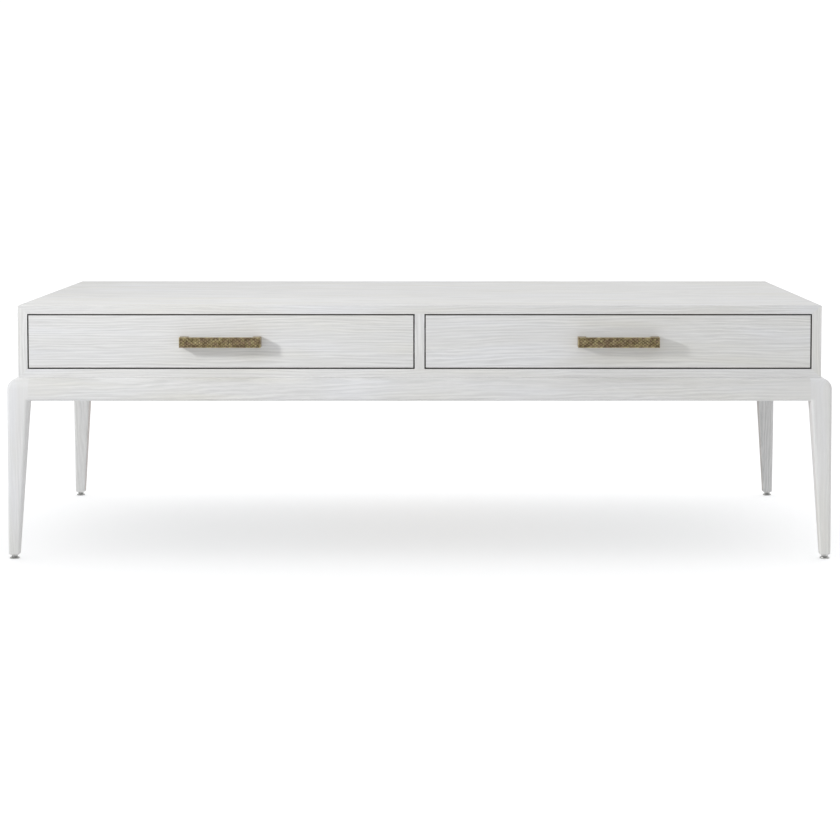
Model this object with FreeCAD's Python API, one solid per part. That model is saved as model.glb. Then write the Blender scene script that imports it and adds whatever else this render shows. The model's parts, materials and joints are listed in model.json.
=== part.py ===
import FreeCAD, Part
import math
import os

# A low cocktail table: a shallow case with two inset drawers on a base of
# aprons and four tapered legs. Millimetres, +Z up, the front faces -Y,
# and the origin is on the floor at the middle of the whole outline, pulls
# included.

# Overall sizes
table_width = 1524.0
table_depth = 762.0
base_height = 336.0
case_height = 134.0
case_setback = 18.0

# Base: aprons, legs and the blocks between them
apron_height = 42.0
apron_thickness = 28.0
shoulder_radius = 20.0
leg_width = 39.5
foot_width = 20.5
outer_corner_radius = 6.5
inner_edge_radius = 7.0
foot_edge_radius = 5.0
foot_chamfer = 1.5
apron_inside_radius = 3.0
tenon_length = 14.0
tenon_thickness = 10.0
tenon_height = 26.0
rail_width = 70.0
rail_thickness = 22.0
rail_tenon_length = 10.0
rail_tenon_width = 50.0
rail_tenon_thickness = 12.0
block_leg_space = 30.0
block_reach = 72.0
block_thickness = 22.0

# Levelling glides and their inserts
glide_height = 8.0
glide_disc_radius = 9.25
glide_disc_thickness = 3.0
glide_disc_chamfer = 0.8
glide_neck_radius = 6.5
glide_stem_radius = 4.0
glide_stem_length = 20.0
insert_radius = 6.5
insert_sides = 6
insert_length = 22.0
glide_clearance = 0.05

# Case panels
top_thickness = 16.0
side_thickness = 18.0
divider_thickness = 18.0
back_thickness = 16.0
case_edge_chamfer = 1.2
tongue_depth = 4.0
tongue_thickness = 8.0
tongue_front_stop = 12.0

# Drawers
drawer_gap = 2.0
front_thickness = 18.0
front_edge_chamfer = 0.8
box_board = 12.0
box_top_space = 12.0
box_rear_space = 92.0
box_floor_space = 8.0
bottom_thickness = 6.0
bottom_height = 10.0
bottom_groove = 5.0
tail_count = 3
tail_share = 0.66
tail_angle = 9.0
travel_stop_space = 10.0

# Ball bearing slides
slide_rear_space = 50.0
slide_width = 12.7
slide_height = 45.0
slide_start = 2.0
steel = 1.2
bend_radius = 1.6
ball_diameter = 3.2
ball_clearance = 0.05
ball_line = 6.8
cage_width = 3.6
cage_end_space = 10.0
member_gap = 0.9
head_room = 1.9
outer_member_width = 10.8
middle_member_width = 10.1
middle_step = 2.0

# Pulls
pull_length = 150.0
pull_height = 19.0
pull_bar_thickness = 9.0
pull_projection = 28.0
pull_post_width = 15.0
pull_edge_round = 1.2

# Screws: radius and length of the shank, radius and height of the head,
# each screw with a hexagon head and its thread drawn as a plain shank
slide_screw = (1.6, 8.0, 3.2, 1.4)
front_screw = (1.75, 24.0, 3.5, 2.0)
pull_screw = (2.0, 39.0, 4.0, 2.4)
case_screw = (2.25, 33.0, 4.0, 2.6)
slide_screw_end_space = 36.0
front_screw_side_space = 60.0
front_screw_edge_space = 18.0
rail_screw_end_space = 90.0
screw_sides = 6

# One overrun for every cut that has to break through a face
overrun = 2.0

# Places that follow from the sizes above
half_width = table_width / 2
half_depth = table_depth / 2
apron_bottom = base_height - apron_height
case_half_width = half_width - case_setback
case_half_depth = half_depth - case_setback
case_top = base_height + case_height
opening_bottom = base_height + top_thickness
opening_top = case_top - top_thickness
opening_width = case_half_width - side_thickness - divider_thickness / 2
opening_offset = (opening_width + divider_thickness) / 2
front_plane = -case_half_depth
back_panel_front = case_half_depth - back_thickness
box_front_plane = front_plane + front_thickness
box_half_width = opening_width / 2 - slide_width
box_bottom = opening_bottom + box_floor_space
box_height = opening_top - box_bottom - box_top_space
slide_plane = (opening_bottom + opening_top) / 2
slide_front = box_front_plane + slide_start
box_length = back_panel_front - box_front_plane - box_rear_space
slide_length = box_length - slide_rear_space
drawer_travel = slide_length - travel_stop_space

# The pieces are placed about the middle of the base, and the pulls stand out
# in front of it, so everything moves back by half of what they stand out
centre_shift = (case_half_depth + pull_projection - half_depth) / 2

SQRT_HALF = math.sqrt(0.5)


def vec(x, y, z):
    return FreeCAD.Vector(x, y, z)


def block(low, high):
    size = [b - a for a, b in zip(low, high)]
    return Part.makeBox(size[0], size[1], size[2], vec(*low))


def face_of(edges):
    return Part.Face(Part.Wire(edges))


def line(a, b):
    return Part.LineSegment(a, b).toShape()


def arc(a, middle, b):
    return Part.Arc(a, middle, b).toShape()


def prism(points, direction):
    closed = points + [points[0]]
    return Part.Face(Part.makePolygon(closed)).extrude(direction)


def quarter(centre, start, end):
    # The point halfway along a quarter circle from start to end about centre
    return centre + (start - centre + end - centre) * SQRT_HALF


def clean(shape):
    solid = shape.removeSplitter()
    if solid.ShapeType != "Solid" and len(solid.Solids) == 1:
        return solid.Solids[0]
    return solid


def mirrored_x(shape):
    return shape.mirror(vec(0, 0, 0), vec(1, 0, 0))


def mirrored_y(shape):
    return shape.mirror(vec(0, 0, 0), vec(0, 1, 0))


def moved(shape, x, y, z):
    copy = shape.copy()
    copy.translate(vec(x, y, z))
    return copy


def regular_bar(sides, radius, length, base, axis):
    # A bar with a regular outline of so many sides, from base along axis
    points = []
    for index in range(sides):
        turn = 2 * math.pi * index / sides
        points.append(vec(radius * math.cos(turn), radius * math.sin(turn), 0))
    bar = prism(points, vec(0, 0, length))
    bar.Placement = FreeCAD.Placement(base, FreeCAD.Rotation(vec(0, 0, 1), axis))
    return bar


def screw(sizes, place, direction):
    # Shank along direction from the seat at place, head behind it
    shank_radius, shank_length, head_radius, head_height = sizes
    axis = vec(*direction)
    seat = vec(*place)
    shank = regular_bar(screw_sides, shank_radius, shank_length, seat, axis)
    head = regular_bar(screw_sides, head_radius, head_height, seat - axis * head_height, axis)
    return clean(shank.fuse(head))


# Legs
def leg_width_at(height):
    # Width of the leg, which tapers evenly from the apron down to its foot
    slope = (leg_width - foot_width) / (apron_bottom - glide_height)
    return foot_width + slope * (height - glide_height)


def leg_section(height, inset, inner_radius):
    # Rounded square with the table's outer corner at the local origin
    low = inset
    high = leg_width_at(height) - inset
    corners = [
        (low, low, 1, 1, outer_corner_radius - inset),
        (high, low, -1, 1, inner_radius - inset),
        (high, high, -1, -1, inner_radius - inset),
        (low, high, 1, -1, inner_radius - inset),
    ]
    arcs = []
    for index, (x, y, side_x, side_y, radius) in enumerate(corners):
        centre = vec(x + side_x * radius, y + side_y * radius, height)
        on_x = vec(x, y + side_y * radius, height)
        on_y = vec(x + side_x * radius, y, height)
        ends = (on_x, on_y) if index % 2 == 0 else (on_y, on_x)
        arcs.append((ends[0], quarter(centre, on_x, on_y), ends[1]))
    edges = []
    for index, (start, middle, end) in enumerate(arcs):
        edges.append(arc(start, middle, end))
        edges.append(line(end, arcs[(index + 1) % len(arcs)][0]))
    return Part.Wire(edges)


def taper():
    foot_top = glide_height + foot_chamfer
    sections = [
        leg_section(glide_height, foot_chamfer, foot_edge_radius),
        leg_section(foot_top, 0, foot_edge_radius),
        leg_section(apron_bottom, 0, inner_edge_radius),
    ]
    return Part.makeLoft(sections, True, True)


def shoulder_profile(to_point, depth):
    # The outline of a leg top or apron: flat side, quarter round, flat top
    side_low = to_point(0, apron_bottom)
    side_high = to_point(0, base_height - shoulder_radius)
    top_out = to_point(shoulder_radius, base_height)
    centre = to_point(shoulder_radius, base_height - shoulder_radius)
    top_in = to_point(depth, base_height)
    bottom_in = to_point(depth, apron_bottom)
    return [
        line(side_low, side_high),
        arc(side_high, quarter(centre, side_high, top_out), top_out),
        line(top_out, top_in),
        line(top_in, bottom_in),
        line(bottom_in, side_low),
    ]


def leg_top():
    # Two crossed shoulders meet in a mitre, which is then rounded over
    along_y = face_of(shoulder_profile(lambda s, z: vec(s, 0, z), leg_width))
    along_x = face_of(shoulder_profile(lambda s, z: vec(0, s, z), leg_width))
    solid = along_y.extrude(vec(0, leg_width, 0)).common(along_x.extrude(vec(leg_width, 0, 0)))
    outer = []
    for edge in solid.Edges:
        centre = edge.CenterOfMass
        on_mitre = abs(centre.x - centre.y) < outer_corner_radius / 2
        if on_mitre and centre.x < shoulder_radius and edge.BoundBox.ZLength > outer_corner_radius:
            outer.append(edge)
    solid = solid.makeFillet(outer_corner_radius, outer)
    inner = [edge for edge in solid.Edges if is_inner_upright(edge)]
    solid = solid.makeFillet(inner_edge_radius, inner)
    return solid.cut(round_over_corner(False)).cut(round_over_corner(True))


def is_inner_upright(edge):
    # The upright edge of the leg that faces the middle of the table
    box = edge.BoundBox
    return min(box.XMin, box.YMin) > leg_width - outer_corner_radius and box.ZLength > shoulder_radius


def round_over_corner(swap):
    # The rounded edge of the leg turns about the corner where it meets the
    # apron's lower edge, so both roundings run into each other
    radius = inner_edge_radius
    corner = vec(leg_width, 0, apron_bottom)
    inside = vec(leg_width, radius, apron_bottom)
    face_end = vec(leg_width - radius, 0, apron_bottom)
    centre = vec(leg_width - radius, radius, apron_bottom)
    middle = centre + vec(SQRT_HALF * radius, -SQRT_HALF * radius, 0)
    edge_arc = arc(face_end, middle, inside)
    profile = face_of([line(corner, face_end), edge_arc, line(inside, corner)])
    cutter = profile.revolve(corner, vec(0, 1, 0), 90)
    if not swap:
        return cutter
    return cutter.mirror(vec(0, 0, 0), vec(1, -1, 0))


def leg():
    shape = clean(taper().fuse(leg_top()))
    return moved(shape, -half_width, -half_depth, 0)


# Aprons
def apron_face(to_point):
    radius = inner_edge_radius
    inside = apron_inside_radius
    depth = apron_thickness
    shoulder_low = base_height - shoulder_radius
    start = to_point(0, apron_bottom + radius)
    side_high = to_point(0, shoulder_low)
    top_out = to_point(shoulder_radius, base_height)
    shoulder_centre = to_point(shoulder_radius, shoulder_low)
    top_in = to_point(depth, base_height)
    inside_high = to_point(depth, apron_bottom + inside)
    inside_centre = to_point(depth - inside, apron_bottom + inside)
    inside_low = to_point(depth - inside, apron_bottom)
    outer_low = to_point(radius, apron_bottom)
    outer_centre = to_point(radius, apron_bottom + radius)
    return face_of([
        line(start, side_high),
        arc(side_high, quarter(shoulder_centre, side_high, top_out), top_out),
        line(top_out, top_in),
        line(top_in, inside_high),
        arc(inside_high, quarter(inside_centre, inside_high, inside_low), inside_low),
        line(inside_low, outer_low),
        arc(outer_low, quarter(outer_centre, outer_low, start), start),
    ])


def front_apron():
    reach = half_width - leg_width
    face = apron_face(lambda s, z: vec(-reach, -half_depth + s, z))
    body = face.extrude(vec(2 * reach, 0, 0))
    tenon_low = apron_bottom + (apron_height - tenon_height) / 2
    tenon_out = -half_depth + (apron_thickness - tenon_thickness) / 2
    tenons = block(
        (-reach - tenon_length, tenon_out, tenon_low),
        (reach + tenon_length, tenon_out + tenon_thickness, tenon_low + tenon_height),
    )
    return clean(body.fuse(tenons))


def left_apron():
    reach = half_depth - leg_width
    face = apron_face(lambda s, z: vec(-half_width + s, -reach, z))
    body = face.extrude(vec(0, 2 * reach, 0))
    tenon_low = apron_bottom + (apron_height - tenon_height) / 2
    tenon_out = -half_width + (apron_thickness - tenon_thickness) / 2
    tenons = block(
        (tenon_out, -reach - tenon_length, tenon_low),
        (tenon_out + tenon_thickness, reach + tenon_length, tenon_low + tenon_height),
    )
    return clean(body.fuse(tenons))


def cross_rail():
    inside = half_depth - apron_thickness
    body = block(
        (-rail_width / 2, -inside, base_height - rail_thickness),
        (rail_width / 2, inside, base_height),
    )
    middle = base_height - rail_thickness / 2
    reach = inside + rail_tenon_length
    tenons = block(
        (-rail_tenon_width / 2, -reach, middle - rail_tenon_thickness / 2),
        (rail_tenon_width / 2, reach, middle + rail_tenon_thickness / 2),
    )
    return clean(body.fuse(tenons))


def corner_block():
    # A bar across the corner, clear of the leg, with both ends on the aprons
    x = -half_width + apron_thickness
    y = -half_depth + apron_thickness
    z = base_height - block_thickness
    points = [
        vec(x + block_leg_space, y, z),
        vec(x + block_reach, y, z),
        vec(x, y + block_reach, z),
        vec(x, y + block_leg_space, z),
    ]
    return prism(points, vec(0, 0, block_thickness))


def case_screws():
    # From below, through each corner block and the cross rail, into the case
    x = half_width - apron_thickness - (block_leg_space + block_reach) / 4
    y = half_depth - apron_thickness - (block_leg_space + block_reach) / 4
    y_rail = half_depth - apron_thickness - rail_screw_end_space
    places = []
    for side_y in (-1, 1):
        for side_x in (-1, 1):
            places.append((side_x * x, side_y * y, base_height - block_thickness))
        places.append((0, side_y * y_rail, base_height - rail_thickness))
    return [screw(case_screw, place, (0, 0, 1)) for place in places]


# Levelling glides
def glide():
    disc = Part.makeCylinder(glide_disc_radius, glide_disc_thickness)
    rim = [edge for edge in disc.Edges if edge.BoundBox.ZMin > glide_disc_chamfer]
    disc = disc.makeChamfer(glide_disc_chamfer, rim)
    neck = Part.makeCylinder(
        glide_neck_radius, glide_height - glide_disc_thickness, vec(0, 0, glide_disc_thickness))
    stem = Part.makeCylinder(glide_stem_radius, glide_stem_length, vec(0, 0, glide_height))
    return clean(disc.fuse([neck, stem]))


def insert():
    base = vec(0, 0, glide_height)
    outer = regular_bar(insert_sides, insert_radius, insert_length, base, vec(0, 0, 1))
    bore = Part.makeCylinder(
        glide_stem_radius + glide_clearance, insert_length + 2 * overrun,
        vec(0, 0, glide_height - overrun))
    return outer.cut(bore)


def insert_hole():
    base = vec(0, 0, glide_height - overrun)
    return regular_bar(insert_sides, insert_radius, insert_length + overrun, base, vec(0, 0, 1))


# Case
def case_shell():
    body = block(
        (-case_half_width, -case_half_depth, base_height),
        (case_half_width, case_half_depth, case_top),
    )
    # The edges that stand on the base stay sharp, so that the joint closes
    eased = [edge for edge in body.Edges if edge.CenterOfMass.z > base_height + case_edge_chamfer]
    body = body.makeChamfer(case_edge_chamfer, eased)
    inner = case_half_width - side_thickness
    hollow = block(
        (-inner, -case_half_depth - overrun, opening_bottom),
        (inner, case_half_depth + overrun, opening_top),
    )
    return body.cut(hollow)


def mitred_panels():
    # The four panels meet in mitres from the outer to the inner corners
    shell = case_shell()
    inner = case_half_width - side_thickness
    y = -case_half_depth
    outer_corners = [
        vec(-case_half_width, y, base_height),
        vec(case_half_width, y, base_height),
        vec(case_half_width, y, case_top),
        vec(-case_half_width, y, case_top),
    ]
    inner_corners = [
        vec(-inner, y, opening_bottom),
        vec(inner, y, opening_bottom),
        vec(inner, y, opening_top),
        vec(-inner, y, opening_top),
    ]
    panels = []
    for index in range(4):
        after = (index + 1) % 4
        outline = [
            outer_corners[index],
            outer_corners[after],
            inner_corners[after],
            inner_corners[index],
        ]
        wedge = prism(outline, vec(0, 2 * case_half_depth, 0))
        panels.append(shell.common(wedge))
    return panels


def divider():
    half = divider_thickness / 2
    body = block((-half, front_plane, opening_bottom), (half, back_panel_front, opening_top))
    tongue = block(
        (-tongue_thickness / 2, front_plane + tongue_front_stop, opening_bottom - tongue_depth),
        (tongue_thickness / 2, back_panel_front, opening_top + tongue_depth),
    )
    return clean(body.fuse(tongue))


def back_panel():
    inner = case_half_width - side_thickness
    body = block(
        (-inner, back_panel_front, opening_bottom),
        (inner, case_half_depth, opening_top),
    )
    middle = back_panel_front + back_thickness / 2
    tongue = block(
        (-inner - tongue_depth, middle - tongue_thickness / 2, opening_bottom - tongue_depth),
        (inner + tongue_depth, middle + tongue_thickness / 2, opening_top + tongue_depth),
    )
    return clean(body.fuse(tongue))


# Drawer boxes, modelled about the middle of their opening
def drawer_front():
    half = opening_width / 2 - drawer_gap
    body = block(
        (-half, front_plane, opening_bottom + drawer_gap),
        (half, box_front_plane, opening_top - drawer_gap),
    )
    rim = [e for e in body.Edges if e.CenterOfMass.y < front_plane + front_edge_chamfer]
    return body.makeChamfer(front_edge_chamfer, rim)


def tails(end, baseline):
    # Dovetails between the baseline and the wider end of a side board
    pitch = box_height / tail_count
    wide = pitch * tail_share / 2
    narrow = wide - abs(baseline - end) * math.tan(math.radians(tail_angle))
    shapes = []
    for index in range(tail_count):
        middle = box_bottom + pitch * (index + 0.5)
        points = [
            vec(-box_half_width, end, middle - wide),
            vec(-box_half_width, end, middle + wide),
            vec(-box_half_width, baseline, middle + narrow),
            vec(-box_half_width, baseline, middle - narrow),
        ]
        shapes.append(prism(points, vec(box_board, 0, 0)))
    return shapes


def box_side():
    box_back_plane = box_front_plane + box_length
    body = block(
        (-box_half_width, box_front_plane + box_board, box_bottom),
        (-box_half_width + box_board, box_back_plane - box_board, box_bottom + box_height),
    )
    front_tails = tails(box_front_plane, box_front_plane + box_board)
    back_tails = tails(box_back_plane, box_back_plane - box_board)
    return clean(body.fuse(front_tails + back_tails))


def box_end(y, sides):
    body = block(
        (-box_half_width, y, box_bottom),
        (box_half_width, y + box_board, box_bottom + box_height),
    )
    return body.cut(sides)


def box_bottom_panel():
    reach = box_half_width - box_board + bottom_groove
    back = box_front_plane + box_length - box_board + bottom_groove
    return block(
        (-reach, box_front_plane + box_board - bottom_groove, box_bottom + bottom_height),
        (reach, back, box_bottom + bottom_height + bottom_thickness),
    )


def front_screws():
    x = box_half_width - front_screw_side_space
    y = box_front_plane + box_board
    low = box_bottom + bottom_height + bottom_thickness + front_screw_edge_space / 2
    high = box_bottom + box_height - front_screw_edge_space
    places = [(sx * x, y, z) for z in (low, high) for sx in (-1, 1)]
    return [screw(front_screw, place, (0, -1, 0)) for place in places]


# Pulls
def pull():
    half = pull_length / 2
    out = front_plane - pull_projection
    bar_back = out + pull_bar_thickness
    low = slide_plane - pull_height / 2
    high = slide_plane + pull_height / 2
    bar = block((-half, out, low), (half, bar_back, high))
    left_post = block((-half, bar_back, low), (-half + pull_post_width, front_plane, high))
    shape = clean(bar.fuse([left_post, mirrored_x(left_post)]))
    rounded = [e for e in shape.Edges if e.CenterOfMass.y < out + pull_edge_round]
    return shape.makeFillet(pull_edge_round, rounded)


def pull_screws():
    x = (pull_length - pull_post_width) / 2
    y = box_front_plane + box_board
    places = [(side * x, y, slide_plane) for side in (-1, 1)]
    return [screw(pull_screw, place, (0, -1, 0)) for place in places]


# Slides, modelled for the left side of the opening. Across is the distance
# from the case wall, and up is the height above the middle of the slide.
def bent_strip(points, thickness, length, start):
    # A folded sheet: straight runs joined by bends, thickened to one side
    edges = []
    last = points[0]
    for index in range(1, len(points) - 1):
        before, corner, after = points[index - 1], points[index], points[index + 1]
        back = (before - corner).normalize()
        ahead = (after - corner).normalize()
        half_turn = back.getAngle(ahead) / 2
        reach = bend_radius / math.tan(half_turn)
        tangent_in = corner + back * reach
        tangent_out = corner + ahead * reach
        towards = (back + ahead).normalize()
        centre = corner + towards * (bend_radius / math.sin(half_turn))
        edges.append(line(last, tangent_in))
        edges.append(arc(tangent_in, centre - towards * bend_radius, tangent_out))
        last = tangent_out
    edges.append(line(last, points[-1]))
    skin = Part.Wire(edges)
    face = skin.makeOffset2D(thickness, 0, True, True)
    strip = face.extrude(vec(0, length, 0))
    return moved(strip, -opening_width / 2, start, slide_plane)


def channel(near, far, high, lip_low, length, start):
    # A C section: web at near, flanges at high, lips at far turned inwards
    points = [
        vec(far, 0, -lip_low),
        vec(far, 0, -high),
        vec(near, 0, -high),
        vec(near, 0, high),
        vec(far, 0, high),
        vec(far, 0, lip_low),
    ]
    return bent_strip(points, -steel, length, start)


raceway = ball_diameter + 2 * ball_clearance
outer_high = slide_height / 2
middle_high = outer_high - steel - raceway
inner_high = middle_high - steel - raceway


def outer_member():
    lip_low = middle_high + member_gap
    return channel(0, outer_member_width, outer_high, lip_low, slide_length, slide_front)


def middle_member():
    near = steel + head_room
    lip_low = inner_high + member_gap
    return channel(
        near, middle_member_width, middle_high, lip_low,
        slide_length - 2 * middle_step, slide_front + middle_step)


def inner_member():
    # Opens towards the case, with its web on the drawer side
    free_end = steel + head_room + steel + member_gap
    points = [
        vec(free_end, 0, -inner_high),
        vec(slide_width, 0, -inner_high),
        vec(slide_width, 0, inner_high),
        vec(free_end, 0, inner_high),
    ]
    return bent_strip(points, steel, slide_length, slide_front)


def cage(row_height):
    # A retainer strip as deep as the balls it carries along the raceway
    length = slide_length - drawer_travel / 2 - 2 * cage_end_space
    start = slide_front + (slide_length - length) / 2
    x = ball_line - opening_width / 2
    z = slide_plane + row_height
    return block(
        (x - cage_width / 2, start, z - ball_diameter / 2),
        (x + cage_width / 2, start + length, z + ball_diameter / 2),
    )


def cages(low_skin):
    # Both rows of one stage, in both slides of a drawer
    row_height = low_skin + raceway / 2
    rows = [cage(row_height), cage(-row_height)]
    return rows + [mirrored_x(row) for row in rows]


def slide_screw_rows():
    return (slide_front + slide_screw_end_space, slide_front + slide_length - slide_screw_end_space)


def case_side_screws():
    x = steel - opening_width / 2
    left = [screw(slide_screw, (x, y, slide_plane), (-1, 0, 0)) for y in slide_screw_rows()]
    return left + [mirrored_x(one) for one in left]


def drawer_side_screws():
    x = slide_width - steel - opening_width / 2
    left = [screw(slide_screw, (x, y, slide_plane), (1, 0, 0)) for y in slide_screw_rows()]
    return left + [mirrored_x(one) for one in left]


def group(shapes):
    return Part.makeCompound(shapes) if len(shapes) > 1 else shapes[0]


def all_moved(shapes, x):
    return [moved(one, x, 0, 0) for one in shapes]


def drawer_parts():
    # Every piece of one drawer and its slides, about the opening's middle
    bottom = box_bottom_panel()
    side = box_side()
    sides = [side, mirrored_x(side)]
    ends = [
        box_end(box_front_plane, sides),
        box_end(box_front_plane + box_length - box_board, sides),
    ]
    fixing = front_screws()
    pull_bolts = pull_screws()
    runner_bolts = drawer_side_screws()
    case_bolts = case_side_screws()
    through = fixing + pull_bolts
    outer = outer_member().cut(case_bolts)
    inner = inner_member().cut(runner_bolts)
    middle = middle_member()
    return {
        "front": [drawer_front().cut(through)],
        "box_front": [ends[0].cut([bottom] + through)],
        "box_back": [ends[1].cut(bottom)],
        "box_left_side": [sides[0].cut([bottom] + runner_bolts)],
        "box_right_side": [sides[1].cut([bottom] + runner_bolts)],
        "box_bottom": [bottom],
        "pull": [pull().cut(pull_bolts)],
        "pull_screws": pull_bolts,
        "front_screws": fixing,
        "left_slide_outer_member": [outer],
        "right_slide_outer_member": [mirrored_x(outer)],
        "left_slide_middle_member": [middle],
        "right_slide_middle_member": [mirrored_x(middle)],
        "left_slide_inner_member": [inner],
        "right_slide_inner_member": [mirrored_x(inner)],
        "slide_outer_ball_cages": cages(middle_high),
        "slide_inner_ball_cages": cages(inner_high),
        "slide_runner_screws": runner_bolts,
    }


def base_parts():
    blocks = [corner_block()]
    blocks.append(mirrored_x(blocks[0]))
    blocks += [mirrored_y(blocks[0]), mirrored_y(blocks[1])]
    fixing = case_screws()
    rail = cross_rail()
    front = front_apron()
    left = left_apron()
    foot_x = foot_width / 2 - half_width
    foot_y = foot_width / 2 - half_depth
    hole = moved(insert_hole(), foot_x, foot_y, 0)
    front_left = leg().cut([front, left, hole])
    inserts = [moved(insert(), foot_x, foot_y, 0)]
    inserts.append(mirrored_x(inserts[0]))
    inserts += [mirrored_y(inserts[0]), mirrored_y(inserts[1])]
    front_glide = moved(glide(), foot_x, foot_y, 0)
    front_right = mirrored_x(front_left)
    right_glide = mirrored_x(front_glide)
    return {
        "base_front_apron": [front.cut(rail)],
        "base_rear_apron": [mirrored_y(front).cut(rail)],
        "base_left_apron": [left],
        "base_right_apron": [mirrored_x(left)],
        "front_left_leg": [front_left],
        "front_right_leg": [front_right],
        "rear_left_leg": [mirrored_y(front_left)],
        "rear_right_leg": [mirrored_y(front_right)],
        "base_cross_rail": [rail.cut(fixing)],
        "base_corner_blocks": [one.cut(fixing) for one in blocks],
        "case_fixing_screws": fixing,
        "glide_inserts": inserts,
        "front_left_glide": [front_glide],
        "front_right_glide": [right_glide],
        "rear_left_glide": [mirrored_y(front_glide)],
        "rear_right_glide": [mirrored_y(right_glide)],
    }


def case_parts(runner_bolts):
    bottom, right, top, left = mitred_panels()
    middle = divider()
    back = back_panel()
    fixing = case_screws()
    return {
        "case_top_panel": [top.cut([middle, back])],
        "case_bottom_panel": [bottom.cut([middle, back] + fixing)],
        "case_left_side": [left.cut([back] + runner_bolts)],
        "case_right_side": [right.cut([back] + runner_bolts)],
        "case_center_divider": [middle.cut(runner_bolts)],
        "case_back_panel": [back],
        "case_slide_screws": runner_bolts,
    }


def solids_of(shape):
    return shape.Solids if shape.ShapeType != "Solid" else [shape]


def main():
    os.makedirs("parts", exist_ok=True)
    nodes = {}
    local_parts = drawer_parts()
    local_bolts = case_side_screws()
    runner_bolts = []
    for name, side in (("left", -1), ("right", 1)):
        offset = side * opening_offset
        runner_bolts += all_moved(local_bolts, offset)
        for part, shapes in local_parts.items():
            nodes[name + "_drawer_" + part] = all_moved(shapes, offset)
    nodes.update(base_parts())
    nodes.update(case_parts(runner_bolts))
    for name, shapes in nodes.items():
        solids = [solid for shape in shapes for solid in solids_of(shape)]
        placed = [moved(solid, 0, centre_shift, 0) for solid in solids]
        group(placed).exportStep("parts/" + name + ".step")
    print(len(nodes), "nodes")


main()
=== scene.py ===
"""Looks of the cocktail table, laid out as a Blender add-on and run as a script."""

import json
import math
import random

import bmesh
import bpy
from bpy.props import FloatProperty, FloatVectorProperty, IntProperty, PointerProperty
from mathutils import Matrix, Vector

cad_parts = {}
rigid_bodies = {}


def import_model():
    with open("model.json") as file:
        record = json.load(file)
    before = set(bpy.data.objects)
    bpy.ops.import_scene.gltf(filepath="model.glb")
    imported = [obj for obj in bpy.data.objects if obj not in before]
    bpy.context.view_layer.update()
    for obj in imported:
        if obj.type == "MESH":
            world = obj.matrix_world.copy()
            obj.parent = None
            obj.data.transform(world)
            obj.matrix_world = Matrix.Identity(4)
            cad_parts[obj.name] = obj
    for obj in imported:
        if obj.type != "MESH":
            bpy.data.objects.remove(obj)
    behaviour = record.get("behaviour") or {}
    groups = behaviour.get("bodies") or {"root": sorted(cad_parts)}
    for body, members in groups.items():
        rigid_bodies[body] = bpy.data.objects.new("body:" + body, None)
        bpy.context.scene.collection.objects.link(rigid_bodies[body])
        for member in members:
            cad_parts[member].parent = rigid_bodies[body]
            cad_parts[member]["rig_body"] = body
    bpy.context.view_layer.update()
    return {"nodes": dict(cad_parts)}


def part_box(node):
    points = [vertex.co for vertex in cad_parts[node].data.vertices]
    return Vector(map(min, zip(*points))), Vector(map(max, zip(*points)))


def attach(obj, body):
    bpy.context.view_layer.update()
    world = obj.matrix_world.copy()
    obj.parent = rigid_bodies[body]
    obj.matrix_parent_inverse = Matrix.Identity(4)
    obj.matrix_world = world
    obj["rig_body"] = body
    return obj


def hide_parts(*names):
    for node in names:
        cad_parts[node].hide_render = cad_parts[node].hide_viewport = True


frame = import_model()

bl_info = {
    "name": "Cocktail Table",
    "version": (1, 0, 0),
    "blender": (4, 5, 0),
    "location": "View3D > Sidebar > Table",
    "description": "Finishes and fittings of a white oak cocktail table with two drawers",
    "category": "Object",
}

MM = 0.001
# Points closer than this are one point, this near to a plane they lie on it, and
# this near to the end of a screw they belong to its end
MERGE = 1e-6
ON_PLANE = 1e-7
AT_END = 1e-5
SIDES = ("left", "right")
CORNERS = ("front_left", "front_right", "rear_left", "rear_right")
# The seeds of the two pulls, so that they are struck differently
PULL_SEEDS = {"left": 7, "right": 19}
# How softly the painted shade in the case's gaps ends
GAP_SHADE_BLUR = 0.2 * MM
# How many board widths lie between the places that two neighbours are cut from,
# and how far and at what step, in radians, their tones swing
BOARD_STEP = 4.37
TONE_SWING = 0.012
TONE_STEP = 2.3
# How far from the case's lower edge the corner under the case is painted lighter,
# against the shade in the crease, and between which heights the legs are painted
# lighter towards their feet, against the light falling off downwards, both in metres
CORNER_LIGHT_REACH = 5 * MM
FOOT_LIGHT_HEIGHTS = (0.15, 0.28)
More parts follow.
